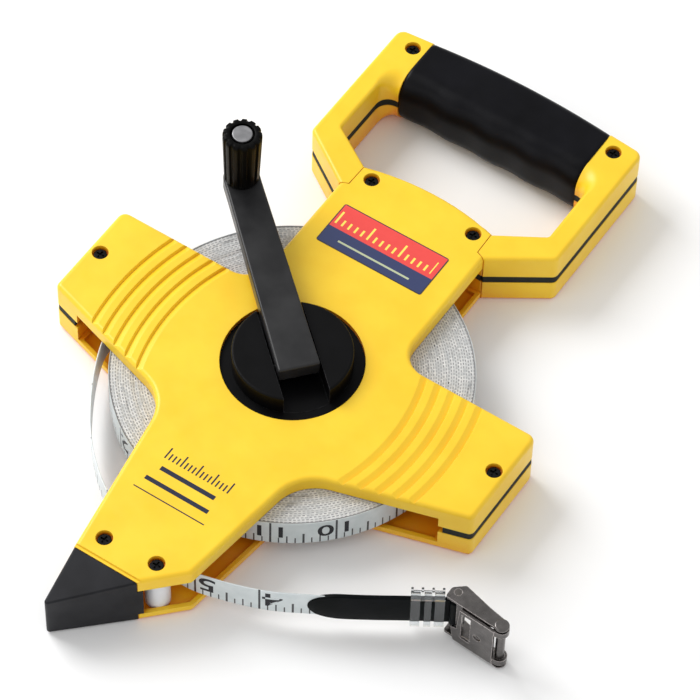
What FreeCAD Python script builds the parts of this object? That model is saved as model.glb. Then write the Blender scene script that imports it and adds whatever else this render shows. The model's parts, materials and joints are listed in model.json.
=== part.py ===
import FreeCAD, Part
import math
import os
import Sketcher
from FreeCAD import Placement, Rotation, Vector

# A surveyor's open tape reel lying on its back: +Z is the drum's axis, the crank is on top, the
# handle is towards +Y and the pointed nose towards -Y. Every piece is drawn about the drum's axis,
# and its Placement then moves that axis to hub_y, so the origin is below the middle of the reel.

SIZES = {
    # the two plates of the open frame
    "hub_y": -13.8,
    "thick": 26.6,
    "plate": 2.4,
    "wall": 1.8,
    "lip_front": 6.5,
    "lip_back": 4.3,
    "seam_low": 11.2,
    "seam_high": 15.0,
    "edge_round": 1.9,
    "seal_back": 0.2,
    "rib_deep": 1.2,
    "rib_slope": 2.6,
    "rib_rise": 0.5,
    "arm_x": 97.5,
    "arm_top": 23.3,
    "arm_tip_low": -22.2,
    "arm_taper": 0.30,
    "block_x": 84.6,
    "upper_x": 34.2,
    "upper_y": 84.0,
    "crown_y": 100.9,
    "foot_x": 30.2,
    "foot_y": 96.8,
    "nose_y": -117.0,
    "nose_step": 1.3,
    "nose_round": 0.8,
    "nose_left": -19.5,
    "nose_right": 9.8,
    "mouth_x": 24.0,
    "mouth_y": -102.4,
    "root_left": -31.1,
    "root_right": 31.9,
    "root_y": -42.0,
    # grip, legs and feet of the handle
    "handle_x": 58.8,
    "handle_top": 165.9,
    "handle_crown": 169.0,
    "handle_low": 100.2,
    "leg_in": 49.6,
    "bar_in": 140.2,
    "grip_x": 42.8,
    "grip_in": 141.3,
    "grip_out": 168.6,
    "grip_top": 27.3,
    "core_in": 146.0,
    "core_out": 163.0,
    "core_low": 3.0,
    "core_top": 23.6,
    "bar_round": 9.0,
    "leg_round": 1.6,
    "tongue_in": 19.5,
    "tongue_low": 86.4,
    "tongue_high": 94.6,
    # drum, hub and tape
    "hub_hole": 28.4,
    "rear_hole": 18.4,
    "fit_gap": 0.1,
    "core_rad": 34.0,
    "roll_rad": 71.4,
    "tape_wide": 13.0,
    "tape_thin": 0.6,
    "journal_top": 24.8,
    "disc_rad": 23.8,
    "disc_top": 33.6,
    "slot_floor": 24.9,
    "slot_wide": 18.2,
    "rear_low": 0.4,
    "rear_thick": 1.2,
    "hub_screw_ring": 11.0,
    "anchor_y": 31.9,
    "anchor_rad": 1.5,
    # crank and knob
    "crank_turn": 138.5,
    "crank_rise": 3.0,
    "pin_back": 5.5,
    "pin_z": 31.9,
    "pin_rad": 1.5,
    "pin_half": 16.0,
    "crank_reach": 88.0,
    "crank_tail": 4.9,
    "crank_wide": 16.8,
    "crank_tip": 14.6,
    "crank_up": 4.7,
    "crank_down": 2.3,
    "knob_tall": 28.5,
    "knob_rad": 7.9,
    "knob_base": 7.1,
    "knob_pin": 3.0,
    "cap_rad": 4.05,
    "cap_well": 4.9,
    "flutes": 13,
    # screws and mouth roller
    "screw_rad": 1.5,
    "head_rad": 2.75,
    "head_tall": 1.4,
    "seat_deep": 2.6,
    "recess_rad": 3.35,
    "collar_rad": 4.7,
    "collar_low": 22.8,
    "boss_rad": 2.9,
    "screw_low": 1.0,
    "post_rad": 2.6,
    "roller_rad": 5.0,
    # hook on the end of the tape
    "flange_low": 1.0,
    "flange_top": 25.6,
    "sheet_steel": 1.0,
    "hook_pin": 1.8,
    # longer than anything that is cut right through
    "through": 60.0,
}

ARM_SCREW = (92.3, 0.6)
UPPER_SCREW = (24.2, 92.2)
NOSE_SCREW = (-12.0, -107.9)
ROLLER_AXIS = (10.8, -106.2)
HANDLE_SCREW = (48.4, 159.6)
RIB_CENTRE = (34.0, -8.0)
RIB_RADII = [87.0 + 6.0 * step for step in range(5)]
RIB_SWEEP = 50
LOOP_PIN = (110.4, -52.6)
HOOK_PIN = (131.8, -56.0)

# Middle of the free tape, from the roll to the pin of the hook, seen from above.
TAPE_ROUTE = [(-71.4, -17.2), (-70.5, -26.8), (-67.2, -36.0), (-62.3, -46.0), (-55.9, -56.6), (-48.6, -67.0),
              (-39.6, -76.6), (-28.6, -85.4), (-15.6, -91.6), (-1.4, -96.0), (11.6, -98.3), (21.6, -98.2),
              (31.2, -95.8), (41.5, -92.6), (52.3, -88.2), (62.4, -82.2)]
SLEEVE_ROUTE = [(62.4, -82.2), (71.4, -77.4), (83.2, -70.1), (95.6, -61.8), (108.2, -53.9)]

doc = FreeCAD.newDocument("TapeReel")
sheet = doc.addObject("Spreadsheet::Sheet", "sheet")
for row, (alias, value) in enumerate(SIZES.items(), start=1):
    sheet.set(f"A{row}", alias)
    sheet.set(f"B{row}", str(value))
    sheet.setAlias(f"B{row}", alias)
doc.recompute()

pieces = []


def size(alias):
    return float(sheet.get(alias))


# ---------------------------------------------------------------- drawing helpers


def keep(piece, base=None, rotation=None):
    """Place a finished piece and list it for the files."""
    place = Placement(base or Vector(0, size("hub_y"), 0), rotation or Rotation())
    piece.Placement = place
    pieces.append(piece)
    return piece


def new_body(label):
    body = doc.addObject("PartDesign::Body", label)
    body.Label = label
    return body


def new_sketch(body, role, height="0"):
    """A sketch on one of the body's own origin planes, raised by an expression of the sheet."""
    sketch = body.newObject("Sketcher::SketchObject", "Sketch")
    plane = [item for item in body.Origin.OriginFeatures if item.Role == role][0]
    sketch.AttachmentSupport = [(plane, "")]
    sketch.MapMode = "FlatFace"
    sketch.setExpression("AttachmentOffset.Base.z", height)
    return sketch


def corner_arc(before, corner, after, radius):
    """Tangent arc that rounds one corner: its two ends and its middle."""
    point = Vector(corner[0], corner[1], 0)
    back = (Vector(before[0], before[1], 0) - point).normalize()
    ahead = (Vector(after[0], after[1], 0) - point).normalize()
    half = back.getAngle(ahead) / 2
    bisector = (back + ahead).normalize()
    run = radius / math.tan(half)
    centre = point + bisector * (radius / math.sin(half))
    return point + back * run, centre - bisector * radius, point + ahead * run


def draw_loop(sketch, corners):
    """Closed outline of straight edges. A corner is x, y, its rounding radius (or nothing) and,
    where the edge that leaves it is curved, the point that this edge bulges through."""
    count = len(corners)
    starts, ends, arcs = [], [], []
    for i, corner in enumerate(corners):
        radius = corner[2] if len(corner) > 2 else 0
        if radius:
            first, middle, last = corner_arc(corners[i - 1], corner, corners[(i + 1) % count], radius)
            arcs.append((first, middle, last))
        else:
            first = last = Vector(corner[0], corner[1], 0)
            arcs.append(None)
        ends.append(first)
        starts.append(last)
    curves = []
    for i, corner in enumerate(corners):
        if arcs[i]:
            curves.append(Part.Arc(*arcs[i]))
        finish = ends[(i + 1) % count]
        if len(corner) > 3:
            bulge = Vector(corner[3][0], corner[3][1], 0)
            curves.append(Part.Arc(starts[i], bulge, finish))
        elif (starts[i] - finish).Length > 1e-6:
            curves.append(Part.LineSegment(starts[i], finish))
    sketch.addGeometry(curves, False)


def draw_circle(sketch, centre, radius, alias=None):
    index = sketch.addGeometry(Part.Circle(Vector(centre[0], centre[1], 0), Vector(0, 0, 1), radius), False)
    rule = sketch.addConstraint(Sketcher.Constraint("Radius", index, radius))
    if alias:
        sketch.setExpression(f"Constraints[{rule}]", alias)
    return index


def extrude(body, kind, sketch, length, reverse=False):
    """Pad or Pocket whose length is an expression of the sheet."""
    feature = body.newObject(f"PartDesign::{kind}", kind)
    feature.Profile = sketch
    feature.setExpression("Length", length)
    feature.Reversed = reverse
    return feature


def profile(body, role, height, corners, circle, others=()):
    """Sketch of one outline or one circle, with more circles as holes or islands in it."""
    sketch = new_sketch(body, role, height)
    if corners:
        draw_loop(sketch, corners)
    if circle:
        draw_circle(sketch, *circle)
    for other in others:
        draw_circle(sketch, *other)
    return sketch


def pad(body, height, length, corners=None, circle=None, holes=()):
    return extrude(body, "Pad", profile(body, "XY_Plane", height, corners, circle, holes), length)


def pocket_up(body, height, length, corners=None, circle=None):
    """Cut that starts at a height and goes up."""
    return extrude(body, "Pocket", profile(body, "XY_Plane", height, corners, circle), length, reverse=True)


def pocket_down(body, height, length, corners=None, circle=None):
    """Cut that starts at a height and goes down."""
    return extrude(body, "Pocket", profile(body, "XY_Plane", height, corners, circle), length)


def across(body, kind, role, length, corners=None, circle=None):
    """Pad or Pocket drawn on an upright plane and taken equally to both sides of it."""
    feature = extrude(body, kind, profile(body, role, "0", corners, circle), length)
    feature.Midplane = True
    return feature


def drill(body, spot, radius, alias=None, low="0"):
    """Round hole from a height right through everything above it."""
    return pocket_up(body, low, "sheet.through", circle=(spot, radius, alias))


def inset(corners, distance):
    """The same outline, drawn counter-clockwise, moved inwards by a distance."""
    count = len(corners)
    lines = []
    for i, corner in enumerate(corners):
        after = corners[(i + 1) % count]
        along = Vector(after[0] - corner[0], after[1] - corner[1], 0).normalize()
        inward = Vector(-along.y, along.x, 0)
        lines.append((Vector(corner[0], corner[1], 0) + inward * distance, along, inward))
    moved = []
    for i, corner in enumerate(corners):
        point, along, _ = lines[i - 1]
        other, ahead, inward = lines[i]
        reach = (other - point).cross(ahead).z / along.cross(ahead).z
        spot = point + along * reach
        radius = corner[2] if len(corner) > 2 else 0
        if radius:
            radius = radius - distance if along.cross(ahead).z > 0 else radius + distance
        bulge = [tuple(Vector(corner[3][0], corner[3][1], 0) + inward * distance)] if len(corner) > 3 else []
        moved.append((spot.x, spot.y, max(radius, 0), *bulge))
    return moved


def flat_edges(shape, height):
    """Numbers and middle points of the edges that lie in one level."""
    found = []
    for number, edge in enumerate(shape.Edges, start=1):
        box = edge.BoundBox
        if max(abs(box.ZMin - height), abs(box.ZMax - height)) < 1e-4:
            found.append((number, edge.valueAt((edge.FirstParameter + edge.LastParameter) / 2)))
    return found


def fillet_flat_edges(body, height, radius, wanted):
    """Round the edges that lie in one level and pass a test of their middle point."""
    doc.recompute()
    solid = body.Tip
    names = [f"Edge{number}" for number, middle in flat_edges(solid.Shape, height) if wanted(middle)]
    feature = body.newObject("PartDesign::Fillet", "Fillet")
    feature.Base = (solid, names)
    feature.setExpression("Radius", radius)
    doc.recompute()
    return feature


def part_feature(label, shape, base=None, rotation=None):
    feature = doc.addObject("Part::Feature", label)
    feature.Label = label
    feature.Shape = shape
    return keep(feature, base, rotation)


# ---------------------------------------------------------------- outlines of the frame


def arm_low(x):
    """Height in the plan of the slanted lower edge of a side arm."""
    return size("arm_tip_low") - size("arm_taper") * (size("arm_x") - abs(x))


def frame_outline():
    """Cross-shaped plan of the two plates, counter-clockwise from the left of the nose."""
    arm, top, upper = size("arm_x"), size("arm_top"), size("upper_x")
    foot = size("foot_x")
    return [
        (size("nose_left"), size("nose_y")),
        (size("nose_right"), size("nose_y")),
        (size("mouth_x"), size("mouth_y"), 2.6),
        (size("root_right"), size("root_y"), 19),
        (arm, size("arm_tip_low"), 2.5),
        (arm, top, 3.5),
        (upper, top, 11),
        (upper, size("upper_y")),
        (foot + 0.3, size("upper_y") + 1.3),
        (foot, size("foot_y"), 0, (0, size("crown_y"))),
        (-foot, size("foot_y")),
        (-foot - 0.3, size("upper_y") + 1.3),
        (-upper, size("upper_y")),
        (-upper, top, 11),
        (-arm, top, 3.5),
        (-arm, size("arm_tip_low"), 2.5),
        (size("root_left"), size("root_y"), 19),
    ]


def cavity_outline():
    """Space between the lips of a plate: the outline without its end blocks, open at the nose."""
    upper, block = size("upper_x"), size("block_x")
    run = size("nose_y") - 4
    corners = [
        (size("nose_left"), run),
        (size("nose_right") - 2, run),
        (size("nose_right"), size("nose_y")),
        (size("mouth_x"), size("mouth_y"), 2.6),
        (size("root_right"), size("root_y"), 19),
        (block, arm_low(block)),
        (block, size("arm_top")),
        (upper, size("arm_top"), 11),
        (upper, size("upper_y")),
        (-upper, size("upper_y")),
        (-upper, size("arm_top"), 11),
        (-block, size("arm_top")),
        (-block, arm_low(block)),
        (size("root_left"), size("root_y"), 19),
    ]
    return inset(corners, size("wall"))


def arm_block(side):
    """Closed box at the end of a side arm, as a counter-clockwise outline."""
    arm, block = size("arm_x"), size("block_x")
    corners = [(block, arm_low(block)), (arm, size("arm_tip_low"), 2.5), (arm, size("arm_top"), 3.5),
               (block, size("arm_top"))]
    if side < 0:
        corners = [(-corner[0],) + tuple(corner[1:]) for corner in reversed(corners)]
    return corners


def arm_hollow(side):
    """Room inside the closed box of a side arm."""
    return inset(arm_block(side), size("wall") + 0.3)


def upper_block():
    """Closed box between the feet of the handle."""
    upper, foot = size("upper_x"), size("foot_x")
    return [(-upper, size("upper_y")), (upper, size("upper_y")), (foot + 0.3, size("upper_y") + 1.3),
            (foot, size("foot_y"), 0, (0, size("crown_y"))), (-foot, size("foot_y")),
            (-foot - 0.3, size("upper_y") + 1.3)]


def upper_hollow():
    """Room inside the upper box, open at both sides for the tongues of the handle."""
    half = size("upper_x") + 4
    low = size("upper_y") + 2
    high = size("foot_y") - size("wall")
    return [(-half, low), (half, low), (half, high), (-half, high)]


def open_edge(middle):
    """True for the outline's free edges: not the nose end, and not the joint with a handle foot."""
    at_foot = size("upper_y") - 0.1 < middle.y < size("foot_y") and abs(middle.x) > size("foot_x")
    return middle.y > size("nose_y") + 0.1 and not at_foot


def case_screws_at():
    spots = [NOSE_SCREW, ROLLER_AXIS]
    spots += [(side * ARM_SCREW[0], ARM_SCREW[1]) for side in (-1, 1)]
    spots += [(side * UPPER_SCREW[0], UPPER_SCREW[1]) for side in (-1, 1)]
    return spots


def boss_meets(spot):
    """Height at which the screw bosses of the two shells meet."""
    if spot == ROLLER_AXIS:
        return size("plate") + 0.1
    if spot == NOSE_SCREW:
        return size("thick") / 2
    return size("seam_high")


# ---------------------------------------------------------------- shells of the frame


def cut_ribs(body):
    """Five grooves across each side arm, turned about a centre beyond the hub: each falls gently
    outwards and rises steeply."""
    top, above = size("thick"), size("thick") + 0.6
    for side in (-1, 1):
        sketch = new_sketch(body, "XZ_Plane", f"{-RIB_CENTRE[1]}")
        centre = -side * RIB_CENTRE[0]
        for radius in RIB_RADII:
            x = centre + side * radius
            inner, outer = x - side * size("rib_slope"), x + side * size("rib_rise")
            draw_loop(sketch, [(inner, above), (inner, top), (x, top - size("rib_deep")), (outer, top),
                               (outer, above)])
        sketch.addGeometry(Part.LineSegment(Vector(centre, 0, 0), Vector(centre, top, 0)), True)
        groove = body.newObject("PartDesign::Groove", "RibGroove")
        groove.Profile = sketch
        groove.ReferenceAxis = (sketch, ["Axis0"])
        groove.Angle = RIB_SWEEP
        groove.Midplane = True


def cut_seat(body, spot):
    """Hole and sunk seat for one screw."""
    drill(body, spot, size("screw_rad"), "sheet.screw_rad")
    recess = (spot, size("recess_rad"), "sheet.recess_rad")
    pocket_up(body, "sheet.thick - sheet.seat_deep", "sheet.through", circle=recess)


def front_shell():
    body = new_body("front_shell")
    top, lip = "sheet.thick", "sheet.lip_front"
    pad(body, f"{top} - {lip}", lip, frame_outline())
    fillet_flat_edges(body, size("thick"), "sheet.edge_round", open_edge)
    for side in (-1, 1):
        pad(body, "sheet.seam_high", f"{top} - {lip} - sheet.seam_high", arm_block(side))
    pad(body, "sheet.seam_high", f"{top} - {lip} - sheet.seam_high", upper_block())
    deep = f"{top} - sheet.plate - sheet.seam_high"
    pocket_up(body, f"{top} - {lip}", f"{lip} - sheet.plate", cavity_outline())
    for side in (-1, 1):
        pocket_up(body, "sheet.seam_high", deep, arm_hollow(side))
    pocket_up(body, "sheet.seam_high", deep, upper_hollow())
    for x, y in case_screws_at():
        low = boss_meets((x, y))
        boss = size("post_rad") if (x, y) == ROLLER_AXIS else size("boss_rad")
        pad(body, f"{low}", f"{top} - sheet.plate + 0.1 - {low}", circle=((x, y), boss))
        collar = ((x, y), size("collar_rad"), "sheet.collar_rad")
        pad(body, "sheet.collar_low", f"{top} - sheet.plate + 0.1 - sheet.collar_low", circle=collar)
    drill(body, (0, 0), size("hub_hole"), "sheet.hub_hole")
    for spot in case_screws_at():
        cut_seat(body, spot)
    cut_ribs(body)
    left, right = size("nose_left") - 1, size("mouth_x")
    low, high = size("nose_y") - 1, size("nose_y") + size("nose_step")
    pocket_up(body, f"{top} - 0.9", "5", [(left, low), (right, low), (right, high), (left, high)])
    keep(body)


def back_shell():
    body = new_body("back_shell")
    lip, high = "sheet.lip_back", "sheet.seam_low - sheet.lip_back"
    pad(body, "0", lip, frame_outline())
    fillet_flat_edges(body, 0, "sheet.edge_round", open_edge)
    blocks = [pad(body, lip, high, arm_block(side)) for side in (-1, 1)]
    blocks.append(pad(body, lip, high, upper_block()))
    for side in (-1, 1):
        blocks.append(pocket_up(body, "sheet.plate", "sheet.through", arm_hollow(side)))
    for feature in blocks:
        feature.Refine = False
    pocket_up(body, "sheet.plate", "sheet.through", upper_hollow())
    pocket_up(body, "sheet.plate", "sheet.through", cavity_outline())
    for spot in case_screws_at():
        meets = boss_meets(spot) if spot == NOSE_SCREW else min(boss_meets(spot), size("seam_low"))
        boss = (spot, size("boss_rad"), "sheet.boss_rad")
        pad(body, "sheet.plate - 0.1", f"{meets} - sheet.plate + 0.1", circle=boss)
    drill(body, (0, 0), size("rear_hole"), "sheet.rear_hole")
    for spot in case_screws_at():
        drill(body, spot, size("screw_rad"), "sheet.screw_rad", low="sheet.screw_low")
    keep(body)


def seal(label, outline, hole=None):
    """Soft black strip squeezed between the two halves."""
    body = new_body(label)
    tall = "sheet.seam_high - sheet.seam_low"
    pad(body, "sheet.seam_low", tall, outline)
    if hole:
        pocket_up(body, "sheet.seam_low", tall, hole)
    return body


def frame_seals():
    back, strip = size("seal_back"), 1.9
    start, edge = size("block_x") + 1.7, size("arm_x") - back
    for side, label in ((-1, "left_arm_seal"), (1, "right_arm_seal")):
        corners = [(start, arm_low(start) + back), (edge, size("arm_tip_low") + back, 2.2),
                   (edge, size("arm_top") - back, 3.1), (start, size("arm_top") - back)]
        if side < 0:
            corners = [(-corner[0],) + tuple(corner[1:]) for corner in reversed(corners)]
        keep(seal(label, corners, inset(corners, strip)))
    half, foot = size("upper_x") - 0.7, size("foot_x") - 0.5
    low = size("upper_y") + back
    front = [(-half, low), (half, low), (foot, low + 1.0), (foot, low + strip), (-foot, low + strip),
             (-foot, low + 1.0)]
    keep(seal("upper_arm_seal", front))
    high = size("foot_y") - back
    crown = (0, size("crown_y") - back)
    arch = [(-foot, high - strip), (foot, high - strip), (foot, high, 0, crown), (-foot, high)]
    keep(seal("crown_seal", arch))


# ---------------------------------------------------------------- handle


def handle_outline():
    """C-shaped plan of the handle, counter-clockwise from the foot on the right."""
    out, inner, bar = size("handle_x"), size("leg_in"), size("bar_in")
    foot, low = size("foot_x") + 0.3, size("upper_y")
    corners = [
        (foot, size("foot_y") - 0.3),
        (foot + 0.3, low + 1.5),
        (size("upper_x") + 0.4, low),
        (out, size("handle_low"), 3),
        (out, size("handle_top"), 4),
        (0, size("handle_crown") + 2.3, 540),
        (-out, size("handle_top"), 4),
        (-out, size("handle_low"), 3),
        (-size("upper_x") - 0.4, low),
        (-foot - 0.3, low + 1.5),
        (-foot, size("foot_y") - 0.3),
        (-inner, 108.4, 2),
        (-inner, bar, 6),
        (inner, bar, 6),
        (inner, 108.4, 2),
    ]
    return corners


def clear_grip(body, low, high):
    """Cut the bar of the handle back to the core that the grip covers."""
    half = size("grip_x")
    beyond = size("handle_crown") + 2
    for y_low, y_high in ((size("bar_in") - 2, size("core_in")), (size("core_out"), beyond)):
        box = [(-half, y_low), (half, y_low), (half, y_high), (-half, y_high)]
        pocket_up(body, low, f"({high}) - ({low})", box)


def handle_rounding(shape, face):
    """Edges of a handle half to round, with the radius at both ends of each: the inner edge of the bar
    is round, its two corners run out to the small rounding of the legs, and the feet stay square."""
    radii = []
    bar, leg = size("bar_round"), size("leg_round")
    for number, middle in flat_edges(shape, face):
        if middle.y < size("foot_y") and abs(middle.x) < size("upper_x") + 0.3:
            continue
        edge = shape.Edges[number - 1]
        ends = [edge.valueAt(edge.FirstParameter), edge.valueAt(edge.LastParameter)]
        inside = abs(middle.x) < size("leg_in") and middle.y > size("bar_in") - 6
        at_bar = [inside and abs(end.y - size("bar_in")) < 0.01 for end in ends]
        radii.append((number, *[bar if near else leg for near in at_bar]))
    return radii


def handle_shell(label, face, low, high, tongue_low, tongue_high):
    """Half of the handle, of which face is the height of the outer side."""
    blank = new_body(label + "_blank")
    pad(blank, low, f"({high}) - ({low})", handle_outline())
    doc.recompute()
    rounded = doc.addObject("Part::Fillet", label + "_rounded")
    rounded.Base = blank
    rounded.Edges = handle_rounding(blank.Shape, face)
    doc.recompute()
    body = new_body(label)
    body.BaseFeature = rounded
    clear_grip(body, low, high)
    half, start, end = size("grip_x"), size("bar_in") - 2, size("handle_crown") + 2
    bar = [(-half, start), (half, start), (half, end), (-half, end)]
    if face > size("seam_high"):
        pocket_up(body, "sheet.core_top", "sheet.through", bar)
    else:
        pocket_down(body, "sheet.core_low", "sheet.through", bar)
    for side in (-1, 1):
        near, far = sorted((side * size("tongue_in"), side * (size("foot_x") + 1.5)))
        tongue = [(near, size("tongue_low")), (far, size("tongue_low")), (far, size("tongue_high")),
                  (near, size("tongue_high"))]
        pad(body, tongue_low, f"({tongue_high}) - ({tongue_low})", tongue)
        drill(body, (side * UPPER_SCREW[0], UPPER_SCREW[1]), size("boss_rad") + 0.2, low=tongue_low)
        spot = (side * HANDLE_SCREW[0], HANDLE_SCREW[1])
        if face > size("seam_high"):
            cut_seat(body, spot)
        else:
            drill(body, spot, size("screw_rad"), "sheet.screw_rad", low="sheet.screw_low")
    keep(body)


def handle_gasket():
    body = new_body("handle_seam_gasket")
    pad(body, "sheet.seam_low", "sheet.seam_high - sheet.seam_low", inset(handle_outline(), size("seal_back")))
    clear_grip(body, "sheet.seam_low", "sheet.seam_high")
    for side in (-1, 1):
        drill(body, (side * HANDLE_SCREW[0], HANDLE_SCREW[1]), size("screw_rad"), "sheet.screw_rad")
    keep(body)


def handle_grip():
    body = new_body("handle_grip")
    low, high, top = size("grip_in"), size("grip_out"), size("grip_top")
    across(body, "Pad", "YZ_Plane", "2 * sheet.grip_x",
           [(low, 0, 10), (high, 0, 4.5), (high, top, 4.5), (low, top, 10)])
    low, high = size("core_in"), size("core_out")
    bottom, top = size("core_low"), size("core_top")
    bore = [(low, bottom), (high, bottom), (high, top), (low, top)]
    across(body, "Pocket", "YZ_Plane", "3 * sheet.grip_x", bore)
    keep(body)


def handle():
    handle_shell("handle_front_shell", size("thick"), "sheet.seam_high", "sheet.thick", "sheet.seam_high",
                 "sheet.collar_low - 0.4")
    handle_shell("handle_back_shell", 0, "0", "sheet.seam_low", "sheet.plate + 0.3", "sheet.seam_low")
    handle_gasket()
    handle_grip()


# ---------------------------------------------------------------- nose, roller, label, screws


def nose():
    """Pointed black end: its front face falls towards the tip, and a tenon goes between the plates."""
    body = new_body("nose")
    start, tip = size("nose_y") - 0.3, size("nose_y") - 25.3
    left, right = size("nose_left") + 0.3, size("nose_right") - 0.2
    pad(body, "0.6", "sheet.thick - 1.2", [(left, start), (left + 3.0, tip, 1.2), (right, start)])
    tenon = [(left + 0.3, start), (right, start), (11.2, -115.7), (8.0, -112.2), (left + 1.3, -112.2)]
    pad(body, "sheet.lip_back + 0.2", "sheet.thick - sheet.lip_front - sheet.lip_back - 0.4", tenon)
    crest = size("thick") - 0.6
    across(body, "Pocket", "YZ_Plane", "80",
           [(start + 0.5, crest), (start + 0.5, crest + 3), (tip - 3, crest + 3), (tip - 3, crest - 6)])
    doc.recompute()
    solid = body.Tip
    edges = [(f"Edge{number}", edge.valueAt((edge.FirstParameter + edge.LastParameter) / 2))
             for number, edge in enumerate(solid.Shape.Edges, start=1)]
    rounding = body.newObject("PartDesign::Fillet", "Fillet")
    rounding.Base = (solid, [name for name, middle in edges if middle.y < start - 1])
    rounding.setExpression("Radius", "sheet.nose_round")
    keep(body)


def mouth_roller():
    body = new_body("mouth_roller")
    ring = ((0, 0), size("roller_rad"), "sheet.roller_rad")
    bore = ((0, 0), size("post_rad") + 0.06)
    pad(body, "sheet.plate + 0.4", "sheet.collar_low - sheet.plate - 0.8", circle=ring, holes=[bore])
    keep(body, Vector(ROLLER_AXIS[0], size("hub_y") + ROLLER_AXIS[1], 0))


def front_label():
    body = new_body("front_label")
    pad(body, "sheet.thick", "0.15", [(-26, 54.5, 1), (23.5, 54.5, 1), (23.5, 76, 1), (-26, 76, 1)])
    keep(body)


def cross_head_screw(x, y):
    """Round-headed screw, head up, with a cross recess."""
    low, seat = size("screw_low"), size("thick") - size("seat_deep")
    head = Part.makeCylinder(size("head_rad"), size("head_tall"), Vector(x, y, seat))
    head = head.makeFillet(0.5, [edge for edge in head.Edges if edge.BoundBox.ZMin > seat + 1])
    shank = Part.makeCylinder(size("screw_rad"), seat - low, Vector(x, y, low))
    screw = head.fuse(shank)
    for long_x, long_y in ((3.4, 0.8), (0.8, 3.4)):
        corner = Vector(x - long_x / 2, y - long_y / 2, seat + size("head_tall") - 0.8)
        screw = screw.cut(Part.makeBox(long_x, long_y, 2, corner))
    return screw.removeSplitter()


def screws():
    part_feature("case_screws", Part.makeCompound([cross_head_screw(x, y) for x, y in case_screws_at()]))
    spots = [(side * HANDLE_SCREW[0], HANDLE_SCREW[1]) for side in (-1, 1)]
    part_feature("handle_screws", Part.makeCompound([cross_head_screw(x, y) for x, y in spots]))


# ---------------------------------------------------------------- drum


def hub_screws_at():
    ring = size("hub_screw_ring")
    angles = [math.radians(90 + 120 * turn) for turn in range(3)]
    return [(ring * math.cos(angle), ring * math.sin(angle)) for angle in angles]


def drum_core():
    """Spool between the plates: a hollow rim, and a journal in each plate's hole."""
    body = new_body("drum_core")
    low, high = "sheet.plate + 0.6", "sheet.thick - sheet.plate - 0.6"
    pad(body, low, f"({high}) - ({low})", circle=((0, 0), size("core_rad"), "sheet.core_rad"))
    pocket_up(body, low, f"({high}) - ({low}) - 4", circle=((0, 0), size("core_rad") - 4))
    rear = ((0, 0), size("rear_hole") - size("fit_gap"), "sheet.rear_hole - sheet.fit_gap")
    rear_top = "sheet.rear_low + sheet.rear_thick"
    pad(body, rear_top, f"({high}) - ({rear_top}) - 1", circle=rear)
    front = ((0, 0), size("hub_hole") - size("fit_gap"), "sheet.hub_hole - sheet.fit_gap")
    pad(body, f"({high}) - 1", f"sheet.journal_top - ({high}) + 1", circle=front)
    anchor = ((0, size("anchor_y")), size("anchor_rad"), "sheet.anchor_rad")
    pocket_up(body, "0.5 * (sheet.thick - sheet.tape_wide)", "sheet.tape_wide", circle=anchor)
    for spot in hub_screws_at():
        pocket_up(body, "0", "13", circle=(spot, size("screw_rad"), "sheet.screw_rad"))
    keep(body)


def tape_roll():
    low = (size("thick") - size("tape_wide")) / 2
    pin = Part.makeCylinder(size("anchor_rad"), size("tape_wide"), Vector(0, size("anchor_y"), low))
    part_feature("tape_anchor_pin", pin)
    body = new_body("tape_roll")
    pad(body, "0.5 * (sheet.thick - sheet.tape_wide)", "sheet.tape_wide",
        circle=((0, 0), size("roll_rad"), "sheet.roll_rad"),
        holes=[((0, 0), size("core_rad"), "sheet.core_rad")])
    keep(body)


def rear_hub():
    """Cap of the rear journal with three slotted screws."""
    body = new_body("rear_hub")
    rim = ((0, 0), size("rear_hole") - size("fit_gap"), "sheet.rear_hole - sheet.fit_gap")
    pad(body, "sheet.rear_low", "sheet.rear_thick", circle=rim)
    head, seat = size("head_rad") - 0.4, size("rear_low") + 0.1
    fixings = []
    for spot in hub_screws_at():
        drill(body, spot, size("screw_rad"), "sheet.screw_rad")
        pocket_up(body, "0", f"{seat} + 0.5", circle=(spot, head))
        base = Vector(*spot, seat)
        fixing = Part.makeCylinder(head, 0.5, base).fuse(Part.makeCylinder(size("screw_rad"), 10, base))
        fixings.append(fixing.cut(Part.makeBox(3.4, 0.8, 0.4, base - Vector(1.7, 0.4, 0.1))))
    keep(body)
    part_feature("hub_screws", Part.makeCompound(fixings))


def crank_turn():
    return Rotation(Vector(0, 0, 1), size("crank_turn"))


def pin_point():
    """Middle of the crank's hinge pin, beyond the drum's axis from the crank."""
    return Vector(0, size("hub_y"), size("pin_z")) + crank_turn().multVec(Vector(-size("pin_back"), 0, 0))


def front_hub():
    """Round boss on the drum with a slot across it for the crank's root."""
    body = new_body("front_hub")
    pad(body, "sheet.journal_top", "sheet.disc_top - sheet.journal_top",
        circle=((0, 0), size("disc_rad"), "sheet.disc_rad"))
    fillet_flat_edges(body, size("disc_top"), "0.9", lambda middle: True)
    half = size("slot_wide") / 2
    end = size("disc_rad") + 5
    slot = [(-end, -half), (end, -half), (end, half), (-end, half)]
    pocket_up(body, "sheet.slot_floor", "sheet.through", slot)
    across(body, "Pocket", "XZ_Plane", "2 * sheet.pin_half",
           circle=((-size("pin_back"), size("pin_z")), size("pin_rad"), "sheet.pin_rad"))
    keep(body, rotation=crank_turn())
    half = size("pin_half")
    pin = Part.makeCylinder(size("pin_rad"), 2 * half, Vector(0, -half, 0), Vector(0, 1, 0))
    part_feature("crank_hinge_pin", pin, pin_point(), crank_turn())


# ---------------------------------------------------------------- crank and knob


def crank_place():
    """The crank lies along its own +X from the hinge pin, and rises a little towards the knob."""
    return crank_turn() * Rotation(Vector(0, 1, 0), -size("crank_rise"))


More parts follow.
